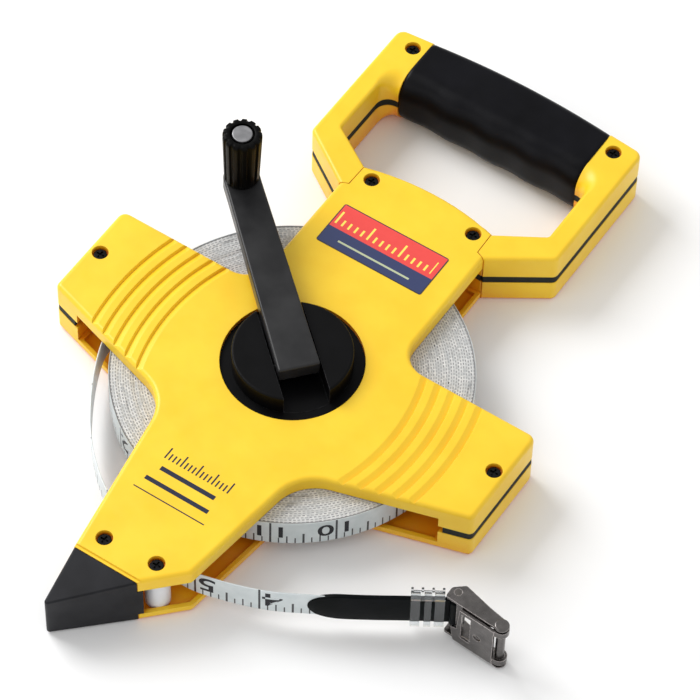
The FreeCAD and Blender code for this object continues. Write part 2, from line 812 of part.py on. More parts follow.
def crank_arm():
    body = new_body("crank_arm")
    root, tip, reach = size("crank_wide") / 2, size("crank_tip") / 2, size("crank_reach")
    tail = size("crank_tail")
    pad(body, "-sheet.crank_down", "sheet.crank_down + sheet.crank_up",
        [(-tail, -root, 0.8), (reach - 8, -tip, 20), (reach + tip, -tip, tip - 0.1),
         (reach + tip, tip, tip - 0.1), (reach - 8, tip, 20), (-tail, root, 0.8)])
    fillet_flat_edges(body, size("crank_up"), "0.9", lambda middle: True)
    fillet_flat_edges(body, -size("crank_down"), "0.7", lambda middle: True)
    across(body, "Pocket", "XZ_Plane", "sheet.through", circle=((0, 0), size("pin_rad") + 0.05))
    drill(body, (reach, 0), size("knob_pin"), "sheet.knob_pin", low="-10")
    keep(body, pin_point(), crank_place())


def knob_pin():
    body = new_body("knob_pin")
    spot = (size("crank_reach"), 0)
    head = "sheet.crank_up + sheet.knob_tall - 1.2"
    shaft = (spot, size("knob_pin"), "sheet.knob_pin")
    pad(body, "-sheet.crank_down", f"{head} + sheet.crank_down", circle=shaft)
    pad(body, head, "1.3", circle=(spot, size("cap_rad"), "sheet.cap_rad"))
    fillet_flat_edges(body, size("crank_up") + size("knob_tall") + 0.1, "0.4", lambda middle: True)
    keep(body, pin_point(), crank_place())


def knob_sleeve():
    """Tapered knob with flutes, free to turn on its pin."""
    body = new_body("knob_sleeve")
    low, tall = size("crank_up") + 0.15, size("knob_tall") - 0.25
    base, rim = size("knob_base"), size("knob_rad")
    sketch = new_sketch(body, "XZ_Plane")
    draw_loop(sketch, [(0, low), (base, low, 0.5), (rim, low + tall, 0.9), (0, low + tall)])
    turned = body.newObject("PartDesign::Revolution", "Revolution")
    turned.Profile = sketch
    turned.ReferenceAxis = (sketch, ["V_Axis"])
    turned.Angle = 360
    doc.recompute()
    flute = pocket_up(body, "0", "sheet.through", circle=((rim + 0.55, 0), 1.5))
    doc.recompute()
    pattern = body.newObject("PartDesign::PolarPattern", "Flutes")
    pattern.Originals = [flute]
    pattern.Axis = (flute.Profile[0], ["N_Axis"])
    pattern.Angle = 360
    pattern.Occurrences = int(size("flutes"))
    body.Tip = pattern
    doc.recompute()
    drill(body, (0, 0), size("knob_pin") + 0.06)
    drill(body, (0, 0), size("cap_well"), "sheet.cap_well", low="sheet.crank_up + sheet.knob_tall - 1.25")
    base_point = pin_point() + crank_place().multVec(Vector(size("crank_reach"), 0, 0))
    keep(body, base_point, crank_place())


# ---------------------------------------------------------------- free tape and its hook


def ribbon(points, thickness, low, high):
    """Upright strip along straight runs joined by tangent arcs; prints the radii and its length."""
    spots = [Vector(x, y, low) for x, y in points]
    sides = {1: [], -1: []}
    radii = []
    path = 0.0
    last = spots[0]

    def shift(point, along, side):
        return point + Vector(-along.y, along.x, 0) * (side * thickness / 2)

    for i in range(1, len(spots) - 1):
        back, ahead = (spots[i] - spots[i - 1]), (spots[i + 1] - spots[i])
        turn = back.getAngle(ahead)
        radius = 0.45 * min(back.Length, ahead.Length) / math.tan(turn / 2)
        lift = Vector(0, 0, low)
        first, middle, end = [spot + lift for spot in corner_arc(*points[i - 1:i + 2], radius)]
        back.normalize()
        ahead.normalize()
        between = (back + ahead).normalize()
        for side in (1, -1):
            sides[side].append(Part.makeLine(shift(last, back, side), shift(first, back, side)))
            arc = Part.Arc(shift(first, back, side), shift(middle, between, side), shift(end, ahead, side))
            sides[side].append(arc.toShape())
        path += (first - last).Length + radius * turn
        radii.append(round(radius))
        last = end
    along = (spots[-1] - spots[-2]).normalize()
    for side in (1, -1):
        sides[side].append(Part.makeLine(shift(last, along, side), shift(spots[-1], along, side)))
    path += (spots[-1] - last).Length
    start = (spots[1] - spots[0]).normalize()
    caps = [Part.makeLine(shift(spots[0], start, 1), shift(spots[0], start, -1)),
            Part.makeLine(shift(spots[-1], along, 1), shift(spots[-1], along, -1))]
    outline = Part.Wire(Part.__sortEdges__(sides[1] + sides[-1] + caps))
    solid = Part.Face(outline).extrude(Vector(0, 0, high - low))
    print("strip radii", radii, "length", round(path, 1), "volume ratio",
          round(solid.Volume / (path * thickness * (high - low)), 4))
    return solid


def free_tape():
    middle, half = size("thick") / 2, size("tape_wide") / 2
    part_feature("tape_lead", ribbon(TAPE_ROUTE, size("tape_thin"), middle - half, middle + half))
    low, high = middle - half - 1, middle + half + 1
    sleeve = ribbon(SLEEVE_ROUTE, 1.6, low, high)
    loop = Part.makeCylinder(3.2, high - low, Vector(LOOP_PIN[0], LOOP_PIN[1], low))
    bore = Part.makeCylinder(size("pin_rad") + 0.06, high - low, Vector(LOOP_PIN[0], LOOP_PIN[1], low))
    part_feature("tape_end_sleeve", sleeve.fuse(loop).cut(bore).removeSplitter())


def tape_keeper():
    """Clear clip of three bands over the sleeve, joined above and below the tape."""
    length, thick_y, tall, band = 13.5, 4.6, 16.6, 3.2
    low = size("thick") / 2 - tall / 2
    clip = Part.makeBox(length, thick_y, tall, Vector(-length / 2, -thick_y / 2, low))
    clip = clip.cut(Part.makeBox(length + 2, 2.6, tall - 1.2, Vector(-length / 2 - 1, -1.3, low + 0.6)))
    gap = (length - 3 * band) / 2
    for step in range(2):
        x = -length / 2 + band + step * (band + gap)
        window = Part.makeBox(gap, thick_y + 2, tall - 2.4, Vector(x, -thick_y / 2 - 1, low + 1.2))
        clip = clip.cut(window)
    start, end = SLEEVE_ROUTE[-2], SLEEVE_ROUTE[-1]
    angle = math.degrees(math.atan2(end[1] - start[1], end[0] - start[0]))
    spot = (0.68 * start[0] + 0.32 * end[0], 0.68 * start[1] + 0.32 * end[1])
    part_feature("tape_keeper", clip, Vector(spot[0], size("hub_y") + spot[1], 0),
                 Rotation(Vector(0, 0, 1), angle))


def hook_frame():
    """Two flanges joined by a web with a window in it."""
    corners = [(107.3, -56.6, 1.0), (130.6, -58.1, 1.0), (134.6, -57.4, 2.2), (134.4, -53.6, 2.2),
               (124.0, -51.6, 8), (111.6, -48.4, 1.2), (109.4, -50.2), (107.3, -52.0, 2.0)]
    web = [(112.6, -57.0), (128.0, -57.98), (128.06, -56.98), (112.66, -56.0)]
    body = new_body("hook_frame")
    pad(body, "sheet.flange_low", "sheet.sheet_steel", corners)
    pad(body, "sheet.flange_low", "sheet.flange_top - sheet.flange_low", web)
    pad(body, "sheet.flange_top - sheet.sheet_steel", "sheet.sheet_steel", corners)
    window = [(115.2, -60), (125.4, -60), (125.4, -54), (115.2, -54)]
    pocket_up(body, "sheet.flange_low + 3", "sheet.flange_top - sheet.flange_low - 6", window)
    drill(body, LOOP_PIN, size("pin_rad"), "sheet.pin_rad")
    drill(body, HOOK_PIN, size("hook_pin"), "sheet.hook_pin")
    keep(body)


def hook_pins():
    low, top = size("flange_low"), size("flange_top")
    part_feature("tape_loop_pin", Part.makeCylinder(size("pin_rad"), top - low, Vector(*LOOP_PIN, low)))
    rivet = Part.makeCylinder(size("hook_pin"), top - low, Vector(*HOOK_PIN, low))
    for level, way in ((top, 1), (low, -1)):
        head = Part.makeCylinder(2.9, 0.9, Vector(*HOOK_PIN, level), Vector(0, 0, way))
        outer = [head.Edges[number - 1] for number, _ in flat_edges(head, level + way * 0.9)]
        rivet = rivet.fuse(head.makeFillet(0.7, outer))
    part_feature("hook_pin", rivet.removeSplitter())


def hook_claw():
    """Slotted plate in front of the frame's web, with two knuckles round the hook's pin."""
    steel, middle = size("sheet_steel"), size("thick") / 2
    low = size("flange_low") + steel + 0.3
    top = size("flange_top") - steel - 0.3
    outline = [(2.2, low), (20.0, low), (20.0, top), (4.6, top), (3.4, 11.0), (1.0, 10.2), (1.6, 6.0)]
    corners = [Vector(along, 0, height) for along, height in outline]
    plate = Part.Face(Part.makePolygon(corners + corners[:1])).extrude(Vector(0, steel, 0))
    plate = plate.cut(Part.makeBox(4.0, 3, 16, Vector(5.6, -1, middle - 6.8)))
    plate = plate.cut(Part.makeCylinder(1.7, 3, Vector(12.8, -1, middle), Vector(0, 1, 0)))
    plate.Placement = Placement(Vector(110.4, -58.3, 0), Rotation(Vector(1, 0, 0), Vector(20.0, -1.2, 0)))
    knuckle = 3.0
    for level in (low, top - knuckle):
        tab = Part.makeBox(3.42, 1.2, knuckle)
        tab.Placement = Placement(Vector(128.4, -59.35, level), Rotation(Vector(1, 0, 0), Vector(3.4, 0.35, 0)))
        ring = Part.makeCylinder(size("hook_pin") + 1.2, knuckle, Vector(*HOOK_PIN, level))
        plate = plate.fuse(ring).fuse(tab)
    bore = Part.makeCylinder(size("hook_pin") + 0.08, size("through"), Vector(*HOOK_PIN, 0))
    part_feature("hook_claw", plate.cut(bore).removeSplitter())


# ---------------------------------------------------------------- build, check and write


def bad_objects():
    names = [item.Name for item in doc.Objects if "Invalid" in item.State or "Error" in item.State]
    for piece in pieces:
        if piece.Shape.isNull() or not piece.Shape.isValid() or not piece.Shape.Solids:
            names.append(piece.Label)
    return names


front_shell()
back_shell()
frame_seals()
handle()
nose()
mouth_roller()
front_label()
screws()
drum_core()
tape_roll()
rear_hub()
front_hub()
crank_arm()
knob_pin()
knob_sleeve()
free_tape()
tape_keeper()
hook_frame()
hook_pins()
hook_claw()
doc.recompute()

faults = bad_objects()
if faults:
    raise RuntimeError(f"invalid pieces: {faults}")
for piece in pieces:
    print(f"{piece.Label:20s} {piece.Shape.Volume / 1000:8.2f} cm3, {len(piece.Shape.Solids)} solid(s)")
os.makedirs("parts", exist_ok=True)
for piece in pieces:
    piece.Shape.exportStep(f"parts/{piece.Label}.step")
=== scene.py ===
import json
import math
import random

import bmesh
import bpy
from mathutils import Matrix, Vector


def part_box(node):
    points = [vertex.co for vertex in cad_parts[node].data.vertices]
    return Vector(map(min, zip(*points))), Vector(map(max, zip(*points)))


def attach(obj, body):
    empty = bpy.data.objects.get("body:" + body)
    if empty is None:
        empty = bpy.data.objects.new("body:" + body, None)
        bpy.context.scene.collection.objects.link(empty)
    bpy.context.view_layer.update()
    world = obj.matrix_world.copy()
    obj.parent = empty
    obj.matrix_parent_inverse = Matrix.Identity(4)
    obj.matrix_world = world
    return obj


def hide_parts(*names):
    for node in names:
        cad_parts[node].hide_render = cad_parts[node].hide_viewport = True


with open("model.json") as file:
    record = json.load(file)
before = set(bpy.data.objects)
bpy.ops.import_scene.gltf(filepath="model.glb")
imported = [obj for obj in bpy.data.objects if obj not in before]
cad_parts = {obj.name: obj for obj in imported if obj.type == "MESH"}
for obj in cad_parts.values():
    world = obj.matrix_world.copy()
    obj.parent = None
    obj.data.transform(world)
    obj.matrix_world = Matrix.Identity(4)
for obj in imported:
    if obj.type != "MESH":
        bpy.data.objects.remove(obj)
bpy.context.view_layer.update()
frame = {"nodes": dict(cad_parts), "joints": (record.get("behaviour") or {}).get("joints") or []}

MM = 0.001
NODES = frame["nodes"]
JOINTS = {joint["name"]: joint for joint in frame["joints"]}
HUB_Y = JOINTS["drum_spin"]["pos_m"][1]

INCH = 25.4
TAPE_LOW, TAPE_WIDE = 6.8, 13.0

# Graduations of the tape: pitch in inches, height and half width of the line in millimetres.
TICKS = ((1 / 8, 3.4, 0.25), (1 / 4, 4.6, 0.28), (1 / 2, 6.2, 0.42), (1, 13.0, 0.42))

# Height on the tape's map from which no graduations are printed, for its back.
BLANK = 40

# Thickness of the roll's outer turn, height of its numerals over it, and distance of the free tape's
# numerals from the middle of the tape's thickness.
TURN_THICK, ROLL_PRINT, LEAD_PRINT = 0.25, 0.04, 0.27

# Places on the wound tape and on the free tape, along them, of one of their inch lines.
ROLL_ZERO = 9.0
LEAD_ZERO = 140.5

# Step from ring to ring and length of one dash and its gap, in the pattern of the wound turns' edges.
RING_PITCH, DASH_PITCH = 0.98, 1.65

# Widening of the numerals, which are broad.
NUMERAL_WIDE = 1.35

# Length along the free tape at which the black sleeve of its end starts.
SLEEVE_START = 184.0

# Distance of the clear keeper's middle from the end of the free tape.
KEEPER_BACK = 8.6

# Middle of the free tape in the plan, from the roll to the hook's pin, from the drum's axis.
TAPE_ROUTE = [(-70.8, -12.4), (-70.5, -26.8), (-67.2, -36.0), (-62.3, -46.0), (-55.9, -56.6), (-48.6, -67.0),
              (-39.6, -76.6), (-28.6, -85.4), (-15.6, -91.6), (-1.4, -96.0), (11.6, -98.3), (21.6, -98.2),
              (31.2, -95.8), (41.5, -92.6), (52.3, -88.2), (62.4, -82.2), (71.4, -77.4), (83.2, -70.1),
              (95.6, -61.8), (108.2, -53.9)]


def plan(x, y, z):
    """A point given in millimetres from the drum's axis and the back face, in the row frame in metres."""
    return Vector((x * MM, y * MM + HUB_Y, z * MM))


# ---------------------------------------------------------------- camera, light and floor


def make_camera():
    """The photograph's viewpoint: 1.52 m from the hub, 54 degrees above the plates."""
    distance, elevation, turn = 1.5192, math.radians(54.025), math.radians(33.586)
    pan, tilt, roll = math.radians(-0.838), math.radians(0.164), math.radians(-0.749)
    plate_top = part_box("front_shell")[1].z
    away = Vector((math.cos(elevation) * math.sin(turn), -math.cos(elevation) * math.cos(turn),
                   math.sin(elevation)))
    forward = -away
    right = Vector((math.cos(turn), math.sin(turn), 0))
    up = right.cross(forward)
    for angle, axis_of in ((pan, "up"), (tilt, "right"), (roll, "forward")):
        axis = {"up": up, "right": right, "forward": forward}[axis_of].copy()
        spin = Matrix.Rotation(angle, 3, axis)
        right, up, forward = spin @ right, spin @ up, spin @ forward
    camera = bpy.data.objects.new("camera", bpy.data.cameras.new("camera"))
    bpy.context.scene.collection.objects.link(camera)
    facing = Matrix((right, up, -forward)).transposed().to_4x4()
    camera.matrix_world = Matrix.Translation(Vector((0, HUB_Y, plate_top)) + away * distance) @ facing
    camera.data.sensor_width = 36
    camera.data.lens = 201.45
    bpy.context.scene.camera = camera


def add_area_light(name, place, size, power):
    light = bpy.data.objects.new(name, bpy.data.lights.new(name, "AREA"))
    bpy.context.scene.collection.objects.link(light)
    light.data.size = size
    light.data.energy = power
    light.location = place
    light.rotation_euler = (-Vector(place)).to_track_quat("-Z", "Y").to_euler()


def make_studio():
    bpy.context.scene.view_settings.view_transform = "Standard"
    world = bpy.data.worlds.new("studio")
    bpy.context.scene.world = world
    world.use_nodes = True
    world.node_tree.nodes["Background"].inputs["Color"].default_value = (1.0, 1.0, 1.0, 1)
    world.node_tree.nodes["Background"].inputs["Strength"].default_value = 0.70
    add_area_light("key", (-1.2, 0.1, 1.1), 0.9, 19)
    add_area_light("side", (-0.6, -1.2, 0.9), 0.9, 2.5)
    mesh = bpy.data.meshes.new("floor")
    half = 6.0
    corners = [(-half, -half, 0), (half, -half, 0), (half, half, 0), (-half, half, 0)]
    mesh.from_pydata(corners, [], [(0, 1, 2, 3)])
    floor = bpy.data.objects.new("floor", mesh)
    bpy.context.scene.collection.objects.link(floor)
    paper = Look("floor_paper", (0.96, 0.96, 0.96), 0.75)
    floor.data.materials.append(paper.material)


# ---------------------------------------------------------------- material helpers


class Look:
    """A material's node tree, with helpers that add and join its nodes."""

    def __init__(self, name, color, roughness, metallic=0.0, coat=0.0):
        self.material = bpy.data.materials.new(name)
        self.material.use_nodes = True
        self.tree = self.material.node_tree
        self.shader = self.tree.nodes["Principled BSDF"]
        self.shader.inputs["Base Color"].default_value = (*color, 1)
        self.shader.inputs["Roughness"].default_value = roughness
        self.shader.inputs["Metallic"].default_value = metallic
        self.shader.inputs["Coat Weight"].default_value = coat
        self.place = self.add("ShaderNodeTexCoord").outputs["Object"]

    def add(self, kind, inputs=None, **settings):
        """A new node; inputs maps socket names or numbers to values or to sockets that feed them."""
        node = self.tree.nodes.new(kind)
        for key, value in settings.items():
            setattr(node, key, value)
        for key, value in (inputs or {}).items():
            if isinstance(value, bpy.types.NodeSocket):
                self.tree.links.new(value, node.inputs[key])
            else:
                node.inputs[key].default_value = value
        return node

    def math(self, operation, *values):
        """The result of a Math node on numbers or sockets."""
        return self.add("ShaderNodeMath", dict(enumerate(values)), operation=operation).outputs[0]

    def noise(self, grain, detail=2.0, place=None):
        """Noise whose grain is a size in millimetres."""
        inputs = {"Vector": place or self.place, "Scale": 1 / (grain * MM), "Detail": detail}
        return self.add("ShaderNodeTexNoise", inputs).outputs["Fac"]

    def ramp(self, value, low, high, start=0.0, end=1.0):
        """value mapped from low..high to start..end, kept inside them."""
        inputs = {"Value": value, "From Min": low, "From Max": high, "To Min": start, "To Max": end}
        return self.add("ShaderNodeMapRange", inputs).outputs["Result"]

    def mix(self, amount, first, second):
        """Colour between two colours or colour sockets."""
        node = self.add("ShaderNodeMix", {"Factor": amount}, data_type="RGBA")
        for socket, value in ((node.inputs[6], first), (node.inputs[7], second)):
            if isinstance(value, bpy.types.NodeSocket):
                self.tree.links.new(value, socket)
            else:
                socket.default_value = (*value, 1)
        return node.outputs[2]

    def feed(self, socket, value):
        self.tree.links.new(value, self.shader.inputs[socket])

    def edge_mask(self, radius, start=0.02, end=0.12):
        """1 on the outer edges of the piece, over a radius in millimetres, and 0 on its flat faces."""
        soft = self.add("ShaderNodeBevel", {"Radius": radius * MM}, samples=6).outputs["Normal"]
        true = self.add("ShaderNodeNewGeometry").outputs["True Normal"]
        match = self.add("ShaderNodeVectorMath", {0: soft, 1: true}, operation="DOT_PRODUCT").outputs["Value"]
        return self.ramp(self.math("SUBTRACT", 1.0, match), start, end)

    def relief(self, height, depth, edge=0.0):
        """Bump of a depth in millimetres, over edges softened by a radius in millimetres."""
        inputs = {"Height": height, "Distance": depth * MM, "Strength": 1.0}
        if edge:
            soft = self.add("ShaderNodeBevel", {"Radius": edge * MM}, samples=4)
            inputs["Normal"] = soft.outputs["Normal"]
        self.feed("Normal", self.add("ShaderNodeBump", inputs).outputs["Normal"])


def moulded(name, dark, light, roughness, grain=0.35, depth=0.02, edge=0.35, shine=0.5, worn=None, painted_hollow_shade=None):
    """Moulded plastic or rubber: faint cloudy colour, a fine spark-eroded grain and softened edges. Worn
    edges can have a colour of their own, and deep hollows can take a painted shade colour, found by ambient
    occlusion."""
    look = Look(name, light, roughness)
    look.shader.inputs["Specular IOR Level"].default_value = shine
    color = look.mix(look.ramp(look.noise(18, 3), 0.35, 0.65), dark, light)
    if worn:
        rubbed = look.edge_mask(0.5)
        patches = look.math("MULTIPLY", rubbed, look.ramp(look.noise(1.6, 4), 0.4, 0.7, 0.15, 0.9))
        color = look.mix(patches, color, worn)
    # Painted shade: where ambient occlusion finds a hollow, the colour is pushed towards the given shade
    # colour.
    if painted_hollow_shade:
        open_sky = look.add("ShaderNodeAmbientOcclusion", {"Distance": 45 * MM}, samples=8).outputs["AO"]
        color = look.mix(look.ramp(open_sky, 0.2, 0.5, 1.0, 0.0), color, painted_hollow_shade)
    look.feed("Base Color", color)
    look.feed("Roughness", look.ramp(look.noise(6, 4), 0.3, 0.7, roughness - 0.05, roughness + 0.06))
    look.relief(look.noise(grain, 3), depth, edge)
    return look


def metal(name, color, roughness, edge=0.15, painted_edge_highlight=None):
    """Plated steel: nearly even colour, faint cloudiness and rolling marks, and a painted highlight on its
    edges when one is given.
    """
    look = Look(name, color, roughness, metallic=1.0)
    dull = tuple(channel * 0.72 for channel in color)
    base = look.mix(look.ramp(look.noise(4, 5), 0.35, 0.7), color, dull)
    # Painted highlight: the base colour is lightened along the edges to stand in for glints.
    if painted_edge_highlight:
        base = look.mix(look.edge_mask(0.3, 0.02, 0.11), base, painted_edge_highlight)
    look.feed("Base Color", base)
    stretched = look.add("ShaderNodeMapping", {"Vector": look.place, "Scale": (0.25, 0.25, 3.0)})
    marks = look.noise(0.5, 3, stretched.outputs["Vector"])
    look.feed("Roughness", look.ramp(marks, 0.3, 0.7, roughness - 0.08, roughness + 0.12))
    look.relief(marks, 0.008, edge)
    return look


# ---------------------------------------------------------------- materials


def yellow_plastic():
    # The orange given for hollows is painted shade, standing in for light bounced between the yellow plates.
    return moulded("yellow_plastic", (0.94, 0.59, 0.016), (0.97, 0.645, 0.024), 0.36, grain=0.5, depth=0.012,
                   edge=0.5, painted_hollow_shade=(0.88, 0.27, 0.002))


def black_plastic():
    return moulded("black_plastic", (0.006, 0.006, 0.008), (0.014, 0.014, 0.017), 0.42, grain=0.3, depth=0.04,
                   shine=0.2)


def hub_plastic():
    return moulded("hub_plastic", (0.001, 0.001, 0.0012), (0.002, 0.002, 0.0025), 0.42, grain=0.4, depth=0.02,
                   shine=0.1, worn=(0.06, 0.06, 0.065))


def crank_plastic():
    return moulded("crank_plastic", (0.010, 0.010, 0.011), (0.024, 0.024, 0.025), 0.34, grain=0.25,
                   depth=0.02, shine=0.3)


def knob_plastic():
    return moulded("knob_plastic", (0.001, 0.001, 0.001), (0.003, 0.003, 0.003), 0.38, grain=0.25, depth=0.02,
                   shine=0.08)


def grip_rubber():
    return moulded("grip_rubber", (0.001, 0.001, 0.002), (0.003, 0.003, 0.005), 0.36, grain=0.25, depth=0.02,
                   shine=0.12)


def seal_rubber():
    return moulded("seal_rubber", (0.008, 0.012, 0.011), (0.014, 0.02, 0.018), 0.6, grain=0.3, depth=0.03,
                   shine=0.2)


def white_nylon():
    look = moulded("white_nylon", (0.74, 0.75, 0.77), (0.80, 0.81, 0.83), 0.3, grain=0.6, depth=0.01)
    look.shader.inputs["Subsurface Weight"].default_value = 0.25
    look.shader.inputs["Subsurface Radius"].default_value = (0.002, 0.002, 0.002)
    return look


def black_vinyl():
    return moulded("black_vinyl", (0.001, 0.002, 0.002), (0.003, 0.004, 0.005), 0.38, grain=0.8, depth=0.05,
                   shine=0.05)


def clear_plastic():
    look = Look("clear_plastic", (0.92, 0.94, 0.95), 0.08)
    look.feed("Base Color", look.mix(look.noise(2, 2), (0.86, 0.89, 0.9), (0.95, 0.96, 0.97)))
    look.shader.inputs["Transmission Weight"].default_value = 0.94
    look.shader.inputs["IOR"].default_value = 1.22
    look.relief(look.noise(1.2, 3), 0.02, 0.2)
    return look


def nickel():
    # Its pale pinkish edge colour is a painted highlight.
    return metal("nickel_steel", (0.165, 0.155, 0.15), 0.26, painted_edge_highlight=(0.90, 0.82, 0.80))


def dull_nickel():
    return metal("dull_nickel", (0.15, 0.14, 0.13), 0.34)


def steel_pin():
    return metal("steel_pin", (0.32, 0.32, 0.33), 0.38)


def black_screw():
    return metal("black_screw", (0.02, 0.02, 0.021), 0.32, edge=0.1)


# ---------------------------------------------------------------- tape: printed face and wound edge


def tick_mask(look, along, across):
    """1 on the graduation lines: along and across are sockets in millimetres, across from the lower edge."""
    mask = 0.0
    for step, tall, thick in TICKS:
        pitch = step * INCH
        turn = look.math("FRACT", look.math("ADD", look.math("DIVIDE", along, pitch), 0.5))
        off = look.math("MULTIPLY", look.math("ABSOLUTE", look.math("SUBTRACT", turn, 0.5)), pitch)
        line = look.math("LESS_THAN", off, thick)
        line = look.math("MULTIPLY", line, look.math("LESS_THAN", across, tall))
        mask = look.math("MAXIMUM", mask, line)
    return mask


def printed_tape():
    """Coated fibreglass tape: white face with woven threads, and black inch graduations by its UV map."""
    look = Look("printed_tape", (0.66, 0.71, 0.72), 0.32)
    spot = look.add("ShaderNodeUVMap", uv_map="tape_mm").outputs["UV"]
    parts = look.add("ShaderNodeSeparateXYZ", {"Vector": spot})
    along, across = parts.outputs["X"], parts.outputs["Y"]
    cloud = look.ramp(look.noise(5, 3), 0.3, 0.7)
    paper = look.mix(cloud, (0.59, 0.65, 0.66), (0.68, 0.73, 0.74))
    look.feed("Base Color", look.mix(tick_mask(look, along, across), paper, (0.012, 0.014, 0.02)))
    threads = look.math("SINE", look.math("MULTIPLY", across, 2 * math.pi / 0.62))
    look.relief(look.math("ADD", threads, look.noise(0.8, 2)), 0.02)
    look.shader.inputs["Coat Weight"].default_value = 0.25
    look.shader.inputs["Coat Roughness"].default_value = 0.25
    return look


def wound_edge():
    """Edges of the wound turns: crisp rings broken into dashes, loose darker turns and specks of print."""
    look = Look("wound_edge", (0.45, 0.46, 0.47), 0.6)
    from_hub = look.add("ShaderNodeVectorMath", {0: look.place, 1: (0, HUB_Y, 0)}, operation="SUBTRACT")
    parts = look.add("ShaderNodeSeparateXYZ", {"Vector": from_hub.outputs["Vector"]})
    x, y = parts.outputs["X"], parts.outputs["Y"]
    out = look.math("SQRT", look.math("ADD", look.math("MULTIPLY", x, x), look.math("MULTIPLY", y, y)))
    turn = look.math("ARCTAN2", y, x)
    bent = look.add("ShaderNodeCombineXYZ", {"X": look.math("MULTIPLY", turn, 0.012), "Y": out}).outputs[0]
    waver = look.math("MULTIPLY", look.math("SUBTRACT", look.noise(8, 2, bent), 0.5), 0.5 * MM)
    level = look.math("DIVIDE", look.math("ADD", out, waver), RING_PITCH * MM)
    ring = look.math("FLOOR", level)
    share = look.math("FRACT", level)
    shift = look.add("ShaderNodeTexWhiteNoise", {"W": ring}, noise_dimensions="1D").outputs["Value"]
    reach = look.math("MULTIPLY", turn, look.math("MULTIPLY", ring, RING_PITCH / DASH_PITCH))
    row = look.math("ADD", reach, look.math("MULTIPLY", shift, 7.0))
    cell = look.add("ShaderNodeCombineXYZ", {"X": look.math("FLOOR", row), "Y": ring})
    tone = look.add("ShaderNodeTexWhiteNoise", {"Vector": cell.outputs[0]}, noise_dimensions="2D")
    tone = tone.outputs["Value"]
    base = look.mix(tone, (0.48, 0.49, 0.49), (0.68, 0.68, 0.67))
    dash = look.math("LESS_THAN", look.math("FRACT", row), 0.6)
    dash = look.math("MULTIPLY", dash, look.math("LESS_THAN", share, 0.42))
    shaded = look.math("MULTIPLY", dash, look.ramp(tone, 0.0, 1.0, 0.3, 0.8))
    base = look.mix(shaded, base, (0.10, 0.10, 0.115))
    ink = look.math("MULTIPLY", look.math("GREATER_THAN", shift, 0.86), look.math("GREATER_THAN", tone, 0.86))
    base = look.mix(look.math("MULTIPLY", ink, dash), base, (0.015, 0.015, 0.02))
    loose = look.noise(2.6, 1, bent)
    base = look.mix(look.ramp(loose, 0.64, 0.72, 0.0, 0.5), base, (0.12, 0.12, 0.13))
    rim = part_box("tape_roll")[1].x - 0.5 * MM
    at_rim = look.math("MULTIPLY", look.math("GREATER_THAN", out, rim), 0.75)
    base = look.mix(at_rim, base, (0.06, 0.06, 0.07))
    look.feed("Base Color", base)
    look.relief(look.math("SUBTRACT", look.math("MULTIPLY", tone, 0.4), dash), 0.10)
    return look


def black_ink():
    look = Look("black_ink", (0.012, 0.013, 0.018), 0.4)
    look.shader.inputs["Specular IOR Level"].default_value = 0.2
    look.feed("Base Color", look.mix(look.noise(1.5, 2), (0.010, 0.011, 0.016), (0.02, 0.02, 0.026)))
    return look


def print_ink():
    look = Look("print_ink", (0.03, 0.035, 0.06), 0.4)
    look.shader.inputs["Specular IOR Level"].default_value = 0.2
    look.feed("Base Color", look.mix(look.noise(1.5, 2), (0.018, 0.022, 0.045), (0.03, 0.035, 0.06)))
    return look


def label_film():
    """Printed label: red above, navy below, with a thin dark rim and a plain pale scale of ticks."""
    low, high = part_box("front_label")
    look = Look("label_film", (0.8, 0.05, 0.05), 0.28, coat=0.3)
    parts = look.add("ShaderNodeSeparateXYZ", {"Vector": look.place})
    x, y = parts.outputs["X"], parts.outputs["Y"]
    split = low.y + 0.42 * (high.y - low.y)
    red = look.mix(look.noise(3, 2), (0.80, 0.055, 0.045), (0.86, 0.07, 0.06))
    color = look.mix(look.math("GREATER_THAN", y, split), (0.022, 0.035, 0.12), red)
    pitch = 3.0 * MM
    for level, tall, every in ((split + 2.0 * MM, 3.2 * MM, 1), (split + 2.0 * MM, 6.6 * MM, 5)):
        step = pitch * every
        turn = look.math("FRACT", look.math("DIVIDE", look.math("SUBTRACT", x, low.x + 1.5 * MM), step))
        off = look.math("MULTIPLY", turn, step)
        tick = look.math("LESS_THAN", off, 0.9 * MM)
        tick = look.math("MULTIPLY", tick, look.math("GREATER_THAN", y, level))
        tick = look.math("MULTIPLY", tick, look.math("LESS_THAN", y, level + tall))
        tick = look.math("MULTIPLY", tick, look.math("LESS_THAN", x, high.x - 2.5 * MM))
        tick = look.math("MULTIPLY", tick, look.math("GREATER_THAN", x, low.x + 1.4 * MM))
        color = look.mix(tick, color, (0.95, 0.78, 0.12))
    bar = look.math("MULTIPLY", look.math("GREATER_THAN", y, low.y + 3.6 * MM),
                    look.math("LESS_THAN", y, low.y + 4.5 * MM))
    bar = look.math("MULTIPLY", bar, look.math("LESS_THAN", x, high.x - 8 * MM))
    bar = look.math("MULTIPLY", bar, look.math("GREATER_THAN", x, low.x + 8 * MM))
    color = look.mix(bar, color, (0.5, 0.55, 0.35))
    rim = 0.0
    for value, edge, way in ((x, low.x, 1), (x, high.x, -1), (y, low.y, 1), (y, high.y, -1)):
        inside = look.math("MULTIPLY", look.math("SUBTRACT", value, edge), way)
        rim = look.math("MAXIMUM", rim, look.math("LESS_THAN", inside, 0.45 * MM))
    look.feed("Base Color", look.mix(rim, color, (0.02, 0.02, 0.04)))
    return look


# ---------------------------------------------------------------- mesh helpers


